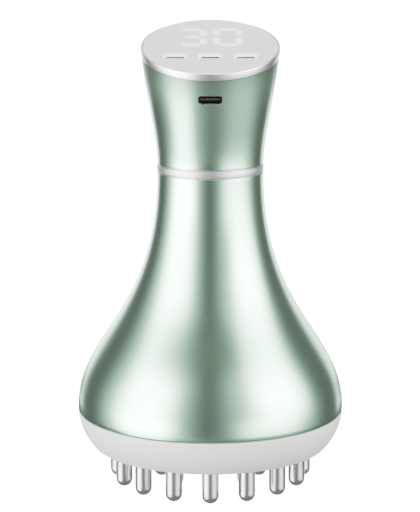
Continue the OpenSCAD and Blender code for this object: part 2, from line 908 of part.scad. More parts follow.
module head_base() {
    lip_top = seam_z + lip_h;
    bead_r = lip_r + snap_bead;
    seal_low = seal_z - seal_slot_h / 2;
    seal_high = seal_z + seal_slot_h / 2;
    outside = concat(
        [[0, lip_top], [lip_r, lip_top], [lip_r, bead_z + bead_h]],
        [[bead_r, bead_z + bead_h * 2 / 3], [bead_r, bead_z + bead_h / 3], [lip_r, bead_z]],
        [[lip_r, seal_high], [seal_slot_r, seal_high], [seal_slot_r, seal_low], [lip_r, seal_low]],
        [[lip_r, seam_z]],
        arc(skirt_mid, skirt_arc, seam_angle, edge_angle, skirt_steps),
        arc(edge_mid, edge_round, edge_angle, -90, edge_steps),
        [[edge_mid[0], pin_reach], [0, pin_reach]]
    );
    in_arc = skirt_arc - head_wall;
    floor_angle = -asin((belly_z - floor_z) / in_arc);
    wall_angle = -asin((seam_drop + over + wall_blend) / in_arc);
    inside = concat(
        [[0, floor_z]],
        arc(skirt_mid, in_arc, floor_angle, wall_angle, skirt_steps),
        [[lip_in_r, seam_z - over], [lip_in_r, lip_top + over], [0, lip_top + over]]
    );
    color("WhiteSmoke") difference() {
        union() {
            rotate_extrude() difference() {
                polygon(outside);
                polygon(inside);
            }
            pin_board_post_places() translate([0, 0, floor_z - over])
                cylinder(r = board_post_r, h = collar_t + over);
        }
        pin_places() translate([0, 0, pin_reach - over])
            cylinder(r = pin_r + pin_gap, h = floor_t + 2 * over);
        pin_board_post_places() translate([0, 0, pin_reach + post_floor])
            cylinder(d = screw_d + 2 * screw_gap, h = floor_t + collar_t);
    }
}

module pin_places() {
    for (i = [0:outer_pins - 1]) {
        at_ring(outer_ring_r, ring_angle(i, outer_pins)) children();
    }
    for (i = [0:inner_pins - 1]) {
        at_ring(inner_ring_r, ring_angle(i, inner_pins)) children();
    }
}

module pin_board_post_places() {
    for (i = [0:3]) {
        at_ring(board_screw_ring, 90 * i) children();
    }
}

module head_seal() {
    color("DimGray") translate([0, 0, seal_z]) rotate_extrude()
        translate([lip_bore_r - seal_gap - seal_d / 2, 0]) circle(d = seal_d);
}

module pin_board() {
    color("DarkGreen") difference() {
        translate([0, 0, pin_board_z]) cylinder(r = pin_board_r, h = board_t);
        pin_places() translate([0, 0, pin_board_z - eps])
            cylinder(d = tail_d + 2 * screw_gap, h = board_t + 2 * eps);
        pin_board_post_places() translate([0, 0, pin_board_z - eps])
            cylinder(d = screw_d + 2 * screw_gap, h = board_t + 2 * eps);
    }
}

module pin_board_screws() {
    color("Silver") pin_board_post_places() translate([0, 0, pin_board_top]) mirror([0, 0, 1])
        screw(board_t + collar_t + floor_t - post_floor - screw_end);
}

// a pin: round tip, shank through the floor, collar above it and a thin tail in the board
module massage_pin() {
    color("LightGray") {
        translate([0, 0, pin_r]) sphere(r = pin_r);
        translate([0, 0, pin_r]) cylinder(r = pin_r, h = floor_z - pin_r);
        translate([0, 0, floor_z]) cylinder(r = pin_r + collar_w, h = collar_t);
        translate([0, 0, pin_board_z]) cylinder(d = tail_d, h = board_t + tail_end);
    }
}

bell_shell();
neck_shell();
waist_ring();
top_bezel();
control_panel();
display_module();
control_board();
board_screws();
for (i = [0:2]) {
    switch_body(i);
    button(i);
    plunger(i);
}
charging_board();
charging_screws();
usb_socket();
usb_tongue();
inner_frame();
frame_screws();
battery_cell();
battery_tabs();
battery_leads();
motor_case();
motor_plate();
motor_screws();
motor_shaft();
eccentric_weight();
motor_leads();
head_base();
head_seal();
pin_board();
pin_board_screws();
for (i = [0:outer_pins - 1]) {
    at_ring(outer_ring_r, ring_angle(i, outer_pins)) massage_pin();
}
for (i = [0:inner_pins - 1]) {
    at_ring(inner_ring_r, ring_angle(i, inner_pins)) massage_pin();
}
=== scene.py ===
"""Looks of a bell-shaped lymphatic drainage massager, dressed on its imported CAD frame.

Lengths in this file are in millimetres and repeat the part's source. MM turns them into metres.
"""

import math

import bmesh
import bpy
import numpy as np
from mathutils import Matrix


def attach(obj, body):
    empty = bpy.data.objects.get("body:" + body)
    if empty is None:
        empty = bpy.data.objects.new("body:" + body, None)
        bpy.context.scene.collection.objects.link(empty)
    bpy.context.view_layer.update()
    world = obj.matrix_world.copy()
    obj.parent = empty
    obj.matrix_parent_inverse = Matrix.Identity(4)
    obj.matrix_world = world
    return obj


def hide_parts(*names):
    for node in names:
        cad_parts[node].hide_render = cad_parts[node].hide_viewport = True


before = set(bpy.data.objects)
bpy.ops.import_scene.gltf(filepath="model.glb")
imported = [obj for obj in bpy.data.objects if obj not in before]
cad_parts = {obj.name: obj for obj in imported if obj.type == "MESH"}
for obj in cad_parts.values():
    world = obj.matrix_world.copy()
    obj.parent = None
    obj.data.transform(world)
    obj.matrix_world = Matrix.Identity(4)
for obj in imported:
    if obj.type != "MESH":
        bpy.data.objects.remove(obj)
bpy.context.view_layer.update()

# One millimetre in metres
MM = 0.001

# Outline
BELLY_R, BELLY_Z = 50.0, 28.4
WAIST_R, WAIST_Z = 19.75, 119.1
BELLY_PULL, FLARE_PULL = 27.0, 53.0
FACE_Z, TILT = 163.9, math.radians(16.4)
RIM_R = 26.0
NECK_PULL, RIM_PULL = 11.7, 19.5
WALL = 2.4
# How far the neck's outline runs on above the rim, before the tilted face cuts it
OVER = 1.0
# Head
PIN_REACH, FLOOR_T = 13.6, 2.6
BASE_R, SEAM_DROP, EDGE_ROUND = 44.0, 1.6, 1.6
SEAM_Z = BELLY_Z - SEAM_DROP
HEAD_WALL, LIP_H, LIP_T = 2.6, 7.0, 3.0
PIN_R, PIN_GAP = 3.1, 0.1
PIN_RINGS = ((35.0, 16), (18.5, 8))
# Waist band
BAND_H, GROOVE_H, GROOVE_D, BAND_PROUD = 2.6, 0.4, 0.7, 0.1
SLEEVE_H, SLEEVE_WALL, FIT_GAP = 8.0, 1.8, 0.15
BELL_TOP = WAIST_Z - BAND_H / 2 - GROOVE_H
NECK_LOW = WAIST_Z + BAND_H / 2 + GROOVE_H
# Top
BEZEL_H, BEZEL_PROUD, BEZEL_RIM = 2.7, 0.1, 0.6
SPIGOT_WALL, SPIGOT_H = 1.6, 3.0
PANEL_T, PANEL_GAP = 1.8, 0.1
BUTTON_W, BUTTON_D, BUTTON_H = 9.5, 3.2, 0.75
BUTTON_PITCH, BUTTON_Y, BUTTON_GAP = 12.8, -9.8, 0.2
BUTTON_FLANGE, BUTTON_FLANGE_T, BUTTON_PLAY = 0.8, 0.9, 0.1
# Charging slot
SLOT_W, SLOT_H, SLOT_CORNER, SOCKET_DROP = 8.7, 3.2, 0.9, 17.1
SLOT_Z = FACE_Z - SOCKET_DROP


# Camera


# Its place in metres and its turn up from straight down in degrees
CAMERA_PLACE, CAMERA_TURN = (-0.000134, -0.78093, 0.24333), 78.566
# Its focal length and the photograph's height in pixels, and the height of its sensor
FOCAL_PIXELS, PHOTO_PIXELS, SENSOR = 2127, 512, 36.0


def place_camera():
    camera = bpy.data.objects.new("camera", bpy.data.cameras.new("camera"))
    bpy.context.scene.collection.objects.link(camera)
    camera.location = CAMERA_PLACE
    camera.rotation_euler = (math.radians(CAMERA_TURN), 0.0, 0.0)
    camera.data.sensor_width = SENSOR
    camera.data.lens = FOCAL_PIXELS / PHOTO_PIXELS * SENSOR
    camera.data.clip_start = 0.01
    camera.data.clip_end = 60.0
    bpy.context.scene.camera = camera


place_camera()


# Mesh helpers


# Steps of a full turn, of a curved outline, of a small rounded edge and of a key's round end
TURN_STEPS, CURVE_STEPS, EDGE_STEPS, END_STEPS = 256, 160, 4, 16
# Points that are nearer than this become one
WELD = 0.0001


def new_object(name, verts, faces, material):
    """An object from millimetre points."""
    mesh = bpy.data.meshes.new(name)
    mesh.from_pydata([tuple(c * MM for c in v) for v in verts], [], [tuple(f) for f in faces])
    mesh.materials.append(material)
    made = bpy.data.objects.new(name, mesh)
    bpy.context.scene.collection.objects.link(made)
    return made


def add_mesh(name, verts, faces, material, replaces, slot, body="housing", sharp=35):
    """A piece in place of a CAD node, smooth apart from edges sharper than sharp degrees."""
    piece = new_object(name, verts, faces, material)
    mesh = piece.data
    bm = bmesh.new()
    bm.from_mesh(mesh)
    bmesh.ops.remove_doubles(bm, verts=bm.verts, dist=WELD * MM)
    bmesh.ops.recalc_face_normals(bm, faces=bm.faces)
    bm.to_mesh(mesh)
    bm.free()
    mesh.polygons.foreach_set("use_smooth", [True] * len(mesh.polygons))
    mesh.set_sharp_from_angle(angle=math.radians(sharp))
    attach(piece, body)
    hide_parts(replaces)
    return piece


def ring_faces(rings, close=False):
    """Quads between neighbouring closed rings of vertices, and from the last to the first."""
    faces = []
    pairs = list(zip(rings, rings[1:])) + ([(rings[-1], rings[0])] if close else [])
    for low, high in pairs:
        for i in range(len(low)):
            j = (i + 1) % len(low)
            faces.append((low[i], low[j], high[j], high[i]))
    return faces


def lathe(profile, close=True, steps=TURN_STEPS):
    """Points and faces of a profile of (r, z) turned about Z."""
    verts, rings = [], []
    for r, z in profile:
        rings.append(range(len(verts), len(verts) + steps))
        for i in range(steps):
            a = 2 * math.pi * i / steps
            verts.append((r * math.cos(a), r * math.sin(a), z))
    return verts, ring_faces(rings, close)


def rounded(corners, steps=EDGE_STEPS):
    """A closed outline whose corners (x, y, radius) are rounded."""
    points = []
    for k, (x, y, radius) in enumerate(corners):
        corner = np.array((x, y))
        if radius == 0:
            points.append(tuple(corner))
            continue
        before, after = np.array(corners[k - 1][:2]), np.array(corners[(k + 1) % len(corners)][:2])
        start = corner + radius * (before - corner) / np.linalg.norm(before - corner)
        end = corner + radius * (after - corner) / np.linalg.norm(after - corner)
        for i in range(steps + 1):
            s = i / steps
            points.append(tuple((1 - s) ** 2 * start + 2 * s * (1 - s) * corner + s * s * end))
    return points


def quarter(r, z, radius, above):
    """The rounded outer edge of a wall of radius r that ends at z, from the wall to its end face."""
    sign = 1 if above else -1
    angles = [math.pi / 2 * i / EDGE_STEPS for i in range(EDGE_STEPS + 1)]
    return [(r - radius + radius * math.cos(a), z + sign * radius * (math.sin(a) - 1)) for a in angles]


def bezier(a, b, c, d):
    """Points of the curve from a to d that leaves towards b and arrives from c."""
    t = np.linspace(0, 1, CURVE_STEPS + 1)[:, None]
    a, b, c, d = (np.array(p, float) for p in (a, b, c, d))
    return (1 - t) ** 3 * a + 3 * (1 - t) ** 2 * t * b + 3 * (1 - t) * t * t * c + t ** 3 * d


bell_curve = bezier(
    (BELLY_R, BELLY_Z), (BELLY_R, BELLY_Z + BELLY_PULL),
    (WAIST_R, BELL_TOP - FLARE_PULL), (WAIST_R, BELL_TOP))
rim_z = FACE_Z + RIM_R * math.tan(TILT) + OVER
neck_curve = bezier(
    (WAIST_R, NECK_LOW), (WAIST_R, NECK_LOW + NECK_PULL), (RIM_R, rim_z - RIM_PULL), (RIM_R, rim_z))


def neck_r(z):
    return float(np.interp(z, neck_curve[:, 1], neck_curve[:, 0]))


def on_rim(angle, outside, depth):
    """The point that lies outside the neck's surface by one amount and below the face by another."""
    rounds = 12
    z = FACE_Z
    for _ in range(rounds):
        r = neck_r(z) + outside
        z = FACE_Z + (r * math.sin(angle) * math.sin(TILT) - depth) / math.cos(TILT)
    return r * math.cos(angle), r * math.sin(angle), z


def rim_loop(outside, depth):
    """Such points all the way round."""
    return [on_rim(2 * math.pi * i / TURN_STEPS, outside, depth) for i in range(TURN_STEPS)]


def on_face(x, y, depth=0.0):
    """A point of the control face, y up the face, depth below it."""
    back = y * math.cos(TILT) + depth * math.sin(TILT)
    return x, back, FACE_Z + y * math.sin(TILT) - depth * math.cos(TILT)


def pill(w, d):
    """Outline of a bar with round ends, as (x, y) points."""
    points = []
    for side, start in ((1, -90), (-1, 90)):
        for i in range(END_STEPS + 1):
            a = math.radians(start + 180 * i / END_STEPS)
            points.append((side * (w - d) / 2 + d / 2 * math.cos(a), d / 2 * math.sin(a)))
    return points


def fill(bm, loops):
    """Fills the flat region between a border loop and the hole loops."""
    edges = []
    for loop in loops:
        for a, b in zip(loop, loop[1:] + loop[:1]):
            edges.append(bm.edges.get((a, b)) or bm.edges.new((a, b)))
    bmesh.ops.triangle_fill(bm, use_beauty=True, edges=edges)


def take_out(bm):
    """The points and faces of a bmesh, which is freed."""
    bm.verts.index_update()
    verts = [tuple(v.co) for v in bm.verts]
    faces = [[v.index for v in f.verts] for f in bm.faces]
    bm.free()
    return verts, faces


# Materials


# The values between which a noise texture mostly stays
NOISE_LOW, NOISE_HIGH = 0.3, 0.7
# A plain surface's mottle is this much coarser than its grain, and its roughness varies by this share
MOTTLE_SIZE, ROUGH_SPREAD = 20, 0.15
# Towards the top of the neck, between these heights, the paint darkens to a colour that is painted shade,
# gets rougher by FADE_MATT and falls to this share of metal
FADE_LOW, FADE_HIGH = 139.0, 160.0
PAINTED_TOP_SHADE_COLOUR, FADE_MATT, FADE_METAL = (0.165, 0.243, 0.19), 0.15, 0.72


class Nodes:
    """A node tree, with short ways to add to it."""

    def __init__(self, tree):
        self.tree = tree

    def add(self, kind, inputs=(), **properties):
        """A new node whose inputs take a value or a link from another node's output."""
        node = self.tree.nodes.new(kind)
        for key, value in properties.items():
            setattr(node, key, value)
        for key, value in dict(inputs).items():
            if isinstance(value, bpy.types.NodeSocket):
                self.tree.links.new(value, node.inputs[key])
            else:
                node.inputs[key].default_value = value
        return node

    def connect(self, output, node, socket):
        self.tree.links.new(output, self.tree.nodes[node].inputs[socket])

    def maths(self, operation, *values):
        return self.add("ShaderNodeMath", dict(enumerate(values)), operation=operation).outputs[0]

    def parts(self, vector):
        """The three coordinates of a vector."""
        return self.add("ShaderNodeSeparateXYZ", {0: vector}).outputs

    def span(self, value, low, high, start=0.0, end=1.0, kind="SMOOTHSTEP"):
        """Goes from start to end while a value goes from low to high, and stays there beyond them."""
        limits = {"Value": value, "From Min": low, "From Max": high, "To Min": start, "To Max": end}
        return self.add("ShaderNodeMapRange", limits, interpolation_type=kind).outputs[0]


class Finish(Nodes):
    """A Principled material whose colour, gloss and relief come from procedural textures."""

    def __init__(self, name, **sockets):
        self.material = bpy.data.materials.new(name)
        self.material.use_nodes = True
        super().__init__(self.material.node_tree)
        self.shader = self.tree.nodes["Principled BSDF"]
        self.coords = self.add("ShaderNodeTexCoord").outputs["Object"]
        for key, value in sockets.items():
            self.shader.inputs[key.replace("_", " ")].default_value = value

    def link(self, output, socket):
        self.tree.links.new(output, self.shader.inputs[socket])

    def noise(self, scale, stretch=(1, 1, 1), detail=2.0):
        """Noise with features of about scale millimetres, drawn out along an axis by stretch."""
        sizes = [1 / (scale * s * MM) for s in stretch]
        mapped = self.add("ShaderNodeMapping", {"Vector": self.coords, "Scale": sizes}).outputs[0]
        inputs = {"Vector": mapped, "Scale": 1.0, "Detail": detail}
        return self.add("ShaderNodeTexNoise", inputs).outputs["Fac"]

    def ramp(self, noise, low, high):
        return self.span(noise, NOISE_LOW, NOISE_HIGH, low, high, kind="LINEAR")

    def blend(self, share, first, second):
        """A colour between two others, each a link or fixed."""
        ends = [end if isinstance(end, bpy.types.NodeSocket) else (*end, 1) for end in (first, second)]
        inputs = {"Factor": share, "A": ends[0], "B": ends[1]}
        return self.add("ShaderNodeMix", inputs, data_type="RGBA").outputs["Result"]

    def tint(self, noise, dark, light):
        """Base colour that wanders between two colours."""
        colour = self.blend(self.ramp(noise, 0, 1), dark, light)
        self.link(colour, "Base Color")
        return colour

    def gloss(self, noise, low, high):
        self.link(self.ramp(noise, low, high), "Roughness")

    def relief(self, noise, height):
        """Bump of a height in millimetres."""
        bump = self.add("ShaderNodeBump", {"Height": noise, "Strength": 1.0, "Distance": height * MM})
        self.link(bump.outputs[0], "Normal")

    def clear_where(self, share):
        """Lets the eye through where share is 1."""
        clear = self.add("ShaderNodeBsdfTransparent").outputs[0]
        mixed = self.add("ShaderNodeMixShader", {0: share, 1: self.shader.outputs[0], 2: clear})
        self.connect(mixed.outputs[0], "Material Output", "Surface")


def simple(name, colour, rough, grain, relief=0.004, spread=0.12, stretch=(1, 1, 1), **sockets):
    """A moulded, cast or drawn surface: slightly mottled, with a grain and relief in millimetres."""
    finish = Finish(name, **sockets)
    slow = finish.noise(grain * MOTTLE_SIZE, stretch)
    fine = finish.noise(grain, stretch, detail=4.0)
    finish.tint(slow, [c * (1 - spread) for c in colour], [min(1, c * (1 + spread)) for c in colour])
    finish.gloss(fine, rough * (1 - ROUGH_SPREAD), rough * (1 + ROUGH_SPREAD))
    finish.relief(fine, relief)
    return finish.material


def green_paint(name, shaded_top=False):
    """Metallic lacquer with a fine even grain of flakes, which may have shade painted in towards the top of
    the neck.
    """
    finish = Finish(name, Metallic=1.0)
    flakes = finish.noise(0.3, detail=1.0)
    clouds = finish.noise(16.0)
    mottle = finish.maths("MULTIPLY", finish.maths("ADD", flakes, clouds), 0.5)
    paint = finish.tint(mottle, (0.545, 0.765, 0.607), (0.595, 0.830, 0.663))
    finish.relief(flakes, 0.0003)
    rough = finish.ramp(flakes, 0.19, 0.22)
    if shaded_top:
        height = finish.parts(finish.coords)["Z"]
        rise = finish.span(height, FADE_LOW * MM, FADE_HIGH * MM)
        rough = finish.maths("MULTIPLY_ADD", rise, FADE_MATT, rough)
        # painted shade: the base colour darkens towards the top of the neck
        finish.link(finish.blend(rise, paint, PAINTED_TOP_SHADE_COLOUR), "Base Color")
        finish.link(finish.maths("MULTIPLY_ADD", rise, FADE_METAL - 1.0, 1.0), "Metallic")
    finish.link(rough, "Roughness")
    return finish.material


def lit_panel():
    """Pale satin plastic, a little brighter where the digits shine through."""
    finish = Finish("pale_panel", Roughness=0.45)
    fine = finish.noise(0.4, detail=4.0)
    plain = finish.tint(finish.noise(8.0), (0.615, 0.615, 0.615), (0.625, 0.625, 0.625))
    glow = finish.add("ShaderNodeAttribute", attribute_name="glow").outputs["Fac"]
    finish.link(finish.blend(glow, plain, (0.93, 0.93, 0.93)), "Base Color")
    finish.gloss(fine, 0.42, 0.48)
    finish.relief(fine, 0.001)
    return finish.material


GREEN = green_paint("green_metallic_paint")
# the neck's paint, with painted shade darkening it towards the top
SHADED_NECK_GREEN = green_paint("green_neck_paint_shaded_top", shaded_top=True)
WHITE = simple("warm_white_plastic", (0.735, 0.712, 0.725), 0.42, 0.5, spread=0.01)
BAND = simple(
    "polished_band", (0.66, 0.655, 0.66), 0.42, 0.4,
    relief=0.001, spread=0.03, stretch=(4, 4, 0.5), Metallic=1.0)
BEZEL = simple(
    "silver_bezel", (0.91, 0.905, 0.91), 0.31, 0.2,
    relief=0.0001, spread=0.01, stretch=(6, 6, 0.6), Metallic=1.0)
PANEL = lit_panel()
KEY = simple("white_key", (0.95, 0.95, 0.95), 0.22, 0.4, relief=0.001, spread=0.01)
# near black, the painted shade in the gap under each key's straight sides
KEY_FOOT_SHADE = simple("painted_shade_key_foot", (0.03, 0.03, 0.032), 0.5, 0.3, relief=0.001)
PIN = simple(
    "polished_pin_steel", (0.66, 0.66, 0.66), 0.27, 0.3,
    relief=0.0008, spread=0.03, stretch=(1, 1, 0.3), Metallic=1.0)
STEEL = simple("plated_steel", (0.60, 0.60, 0.61), 0.3, 0.2, relief=0.001, Metallic=1.0)
SOCKET = simple("socket_sheet", (0.24, 0.24, 0.245), 0.35, 0.2, relief=0.001, Metallic=1.0)
TONGUE = simple("dark_tongue", (0.13, 0.13, 0.135), 0.4, 0.2)
# pale, the painted light on the slot's wall where it faces up
SLOT_LIT_WALL = simple("painted_lit_slot_wall", (0.62, 0.68, 0.64), 0.45, 0.3)
DARK_MOULDING_AND_SLOT_SHADE = simple("dark_moulding_and_slot_shade", (0.02, 0.02, 0.022), 0.5, 0.3)
DISPLAY = simple("display_moulding", (0.05, 0.05, 0.055), 0.45, 0.3)
BOARD = simple("green_board", (0.02, 0.10, 0.05), 0.35, 0.6)
FRAME = simple("grey_frame_plastic", (0.35, 0.37, 0.39), 0.5, 0.5)
WRAP = simple("blue_cell_wrap", (0.02, 0.06, 0.25), 0.25, 0.8)
NICKEL = simple("nickel_tab", (0.66, 0.64, 0.60), 0.3, 0.2, relief=0.001, Metallic=1.0)
LEAD = simple("red_lead", (0.40, 0.02, 0.015), 0.45, 0.3)
BRASS = simple(
    "turned_brass", (0.72, 0.52, 0.24), 0.25, 0.2,
    relief=0.001, stretch=(3, 3, 0.3), Metallic=1.0)
RUBBER = simple("seal_rubber", (0.015, 0.015, 0.015), 0.6, 0.3)

CAD_FINISH = {
    "display_module": DISPLAY, "control_board": BOARD, "charging_board": BOARD, "pin_board": BOARD,
    "left_switch": DARK_MOULDING_AND_SLOT_SHADE, "middle_switch": DARK_MOULDING_AND_SLOT_SHADE, "right_switch": DARK_MOULDING_AND_SLOT_SHADE,
    "left_plunger": DARK_MOULDING_AND_SLOT_SHADE, "middle_plunger": DARK_MOULDING_AND_SLOT_SHADE, "right_plunger": DARK_MOULDING_AND_SLOT_SHADE,
    "board_screws": STEEL, "charging_screws": STEEL, "frame_screws": STEEL, "motor_screws": STEEL,
    "pin_board_screws": STEEL, "motor_case": STEEL, "motor_plate": STEEL, "motor_shaft": STEEL,
    "usb_socket": SOCKET, "usb_tongue": TONGUE, "inner_frame": FRAME, "battery_cell": WRAP,
    "battery_tabs": NICKEL, "battery_leads": LEAD, "motor_leads": LEAD, "eccentric_weight": BRASS,
    "head_seal": RUBBER,
}
for node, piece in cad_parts.items():
    finish = PIN if "_pin_" in node else CAD_FINISH.get(node)
    if finish:
        piece.data.materials.clear()
        piece.data.materials.append(finish)


# Shells


def build_bell():
    """The flared shell, whose lowest edge is drawn in a little and rounded."""
    low_round, top_round, drawn_in = 0.9, 0.2, 0.06
    low_r = BELLY_R - drawn_in
    outer = [(low_r, SEAM_Z + low_round)] + [tuple(p) for p in bell_curve if p[1] < BELL_TOP - top_round]
    profile = quarter(low_r, SEAM_Z, low_round, above=False)[::-1] + outer
    profile += quarter(WAIST_R, BELL_TOP, top_round, above=True)
    # the inside, which nothing shows, has every fourth point
    inner = [(r - WALL, z) for r, z in outer[::4]]
    profile += [(WAIST_R - WALL, BELL_TOP)] + inner[::-1] + [(low_r - WALL, SEAM_Z)]
    add_mesh("bell_skin", *lathe(profile), GREEN, replaces="bell_shell", slot="shell_paint")


def slot_outline(grow):
    """The slot's outline, grown by an amount, as (x, z) offsets from its middle."""
    corner_steps = 8
    corner_x, corner_z = SLOT_W / 2 - SLOT_CORNER, SLOT_H / 2 - SLOT_CORNER
    radius = SLOT_CORNER + grow
    points = []
    for side, up, start in ((1, -1, -90), (1, 1, 0), (-1, 1, 90), (-1, -1, 180)):
        for i in range(corner_steps + 1):
            a = math.radians(start + 90 * i / corner_steps)
            points.append((side * corner_x + radius * math.cos(a), up * corner_z + radius * math.sin(a)))
    return points


def build_neck():
    """The neck's wall as a grid of columns and rows, with a patch of its own round the slot."""
    low_round = 0.2
    # half the width and height of the window in the grid, which the patch fills
    window_x, window_z = 6.4, 3.6
    # rows below the window, in it and above it, and columns in it and beside it
    low_rows, window_rows, top_rows = 59, 20, 24
    window_columns, other_columns = 40, 176
    r_slot = neck_r(SLOT_Z)
    front = -math.pi / 2
    spread = math.asin(window_x / r_slot)
    near = np.linspace(front - spread, front + spread, window_columns + 1)
    far = np.linspace(front + spread, front - spread + 2 * math.pi, other_columns + 1)[1:-1]
    angles = np.concatenate([near, far])
    low_z, high_z = SLOT_Z - window_z, SLOT_Z + window_z
    fixed = np.concatenate([
        np.linspace(NECK_LOW + low_round, low_z, low_rows + 1),
        np.linspace(low_z, high_z, window_rows + 1)[1:]])
    tops = [on_rim(a, 0, BEZEL_H)[2] for a in angles]
    verts = []

    def wall_point(angle, z, inside):
        r = neck_r(z) - inside
        verts.append((r * math.cos(angle), r * math.sin(angle), z))
        return len(verts) - 1

    def skin(inside):
        """Rows of points from the bottom of the neck up to the bezel."""
        rows = []
        if inside == 0:
            for r, z in quarter(0, NECK_LOW, low_round, above=False)[::-1][:-1]:
                rows.append([wall_point(a, z, -r) for a in angles])
        else:
            rows.append([wall_point(a, NECK_LOW, inside) for a in angles])
        for z in fixed:
            rows.append([wall_point(a, z, inside) for a in angles])
        for k in range(1, top_rows + 1):
            s = k / top_rows
            rows.append([wall_point(a, high_z + s * (top - high_z), inside) for a, top in zip(angles, tops)])
        return rows

    outer, inner = skin(0), skin(WALL)
    faces = ring_faces([outer[0], inner[0]]) + ring_faces([outer[-1], inner[-1]])
    borders = []
    for rows in (outer, inner):
        start = len(rows) - 1 - top_rows - window_rows
        for i, (low, high) in enumerate(zip(rows, rows[1:])):
            in_window = start <= i < start + window_rows
            quads = ring_faces([low, high])
            faces += quads[window_columns:] if in_window else quads
        # the window's border, from the middle of its lower side
        low, high = rows[start], rows[start + window_rows]
        middle = window_columns // 2
        right = [rows[start + i][window_columns] for i in range(window_rows)]
        left = [rows[start + i][0] for i in range(window_rows, 0, -1)]
        borders.append(low[middle:window_columns] + right + high[window_columns:0:-1] + left + low[:middle])

    def flat(index):
        """A vertex as its angle from the front and its height above the slot's middle."""
        x, y, z = verts[index]
        return math.atan2(y, x) - front, z - SLOT_Z

    def matched(loop, grow):
        """Points of the slot's outline, grown, in the directions of the loop's points."""
        points = slot_outline(grow)
        turn = [math.atan2(z / SLOT_H, x / SLOT_W) for x, z in points]
        order = np.argsort(turn)
        turn, points = np.array(turn)[order], np.array(points)[order]
        turn = np.concatenate([turn - 2 * math.pi, turn, turn + 2 * math.pi])
        points = np.concatenate([points, points, points])
        found = []
        for index in loop:
            a, z = flat(index)
            at = math.atan2(z / window_z, a * r_slot / window_x)
            found.append((np.interp(at, turn, points[:, 0]), np.interp(at, turn, points[:, 1])))
        return found

    def ring(loop, grow, inside, share):
        """A ring between the slot's outline (share 0) and the window's border (share 1)."""
        result = []
        for index, (x, z) in zip(loop, matched(loop, grow)):
            a, high = flat(index)
            angle = math.asin(x / r_slot) * (1 - share) + a * share
            result.append(wall_point(front + angle, SLOT_Z + z * (1 - share) + high * share, inside))
        return result

    # the patch: from the outer border to the slot, round its lip, through the wall and to the inner border
    lip = 0.08
    outer_loop, inner_loop = borders
    rings = [outer_loop] + [ring(outer_loop, lip, 0, share) for share in (0.7, 0.42, 0.2, 0.06, 0)]
    for degrees in (30, 60, 90):
        turn = math.radians(degrees)
        rings.append(ring(outer_loop, lip * (1 - math.sin(turn)), lip * (1 - math.cos(turn)), 0))
    rings += [ring(outer_loop, 0, depth, 0) for depth in (0.9, 1.6, WALL)]
    rings += [ring(inner_loop, 0, WALL, share) for share in (0.3, 0.65)] + [inner_loop]
    faces += ring_faces(rings)
    neck = add_mesh("neck_skin", verts, faces, SHADED_NECK_GREEN, replaces="neck_shell", slot="shell_paint")
    neck.data.materials.append(DARK_MOULDING_AND_SLOT_SHADE)
    neck.data.materials.append(SLOT_LIT_WALL)
    # below the paint the slot's wall is coloured by which way it faces: a pale copy where it faces up, as
    # painted light, and near black elsewhere, as painted shade
    paint_depth, spare, facing_up = 0.1, 0.01, 0.5
    for face in neck.data.polygons:
        x, y, z = face.center / MM
        in_slot = abs(x) < SLOT_W and y < 0 and abs(z - SLOT_Z) < SLOT_H
        if in_slot and paint_depth < neck_r(z) - math.hypot(x, y) < WALL - spare:
            # painted light and shade: pale where the wall faces up, near black where it does not
            face.material_index = 1 if face.normal.z < facing_up else 2


def build_band():
    """The band between its grooves, which bulges slightly, and the sleeve inside."""
    bulge, edge_round, bulge_round, sleeve_round = 0.06, 0.35, 0.6, 0.2
    sleeve_r = WAIST_R - WALL - FIT_GAP
    inner_r = sleeve_r - SLEEVE_WALL
    groove_r = WAIST_R - GROOVE_D
    band_r = WAIST_R + BAND_PROUD
    edge_r = band_r - bulge
    low, high = WAIST_Z - BAND_H / 2, WAIST_Z + BAND_H / 2
    corners = [
        (inner_r, BELL_TOP - SLEEVE_H, sleeve_round), (sleeve_r, BELL_TOP - SLEEVE_H, sleeve_round),
        (sleeve_r, BELL_TOP, 0), (groove_r, BELL_TOP, 0), (groove_r, low, 0),
        (edge_r, low, edge_round), (band_r, WAIST_Z, bulge_round), (edge_r, high, edge_round),
        (groove_r, high, 0), (groove_r, NECK_LOW, 0), (sleeve_r, NECK_LOW, 0),
        (sleeve_r, NECK_LOW + SLEEVE_H, sleeve_round), (inner_r, NECK_LOW + SLEEVE_H, sleeve_round),
    ]
    add_mesh("waist_band", *lathe(rounded(corners)), BAND, replaces="waist_ring", slot="band_chrome")


def build_bezel():
    """The ring round the tilted face, with the panel's ledge and the spigot that plugs into the neck."""
    top_round, spigot_round, rim_round = 0.45, 0.3, 0.12
    spigot_side = -WALL - FIT_GAP
    spigot_low = BEZEL_H + SPIGOT_H
    ledge = spigot_side - SPIGOT_WALL
    corners = [
        (BEZEL_PROUD, 0.0, top_round), (BEZEL_PROUD, BEZEL_H, spigot_round), (spigot_side, BEZEL_H, 0),
        (spigot_side, spigot_low, spigot_round), (ledge, spigot_low, spigot_round),
        (ledge, PANEL_T, 0), (-BEZEL_RIM, PANEL_T, 0), (-BEZEL_RIM, 0.0, rim_round),
    ]
    verts, rings = [], []
    for outside, depth in rounded(corners, steps=5):
        rings.append(range(len(verts), len(verts) + TURN_STEPS))
        verts += rim_loop(outside, depth)
    faces = ring_faces(rings, close=True)
    add_mesh("bezel_ring", verts, faces, BEZEL, replaces="top_bezel", slot="bezel_silver")


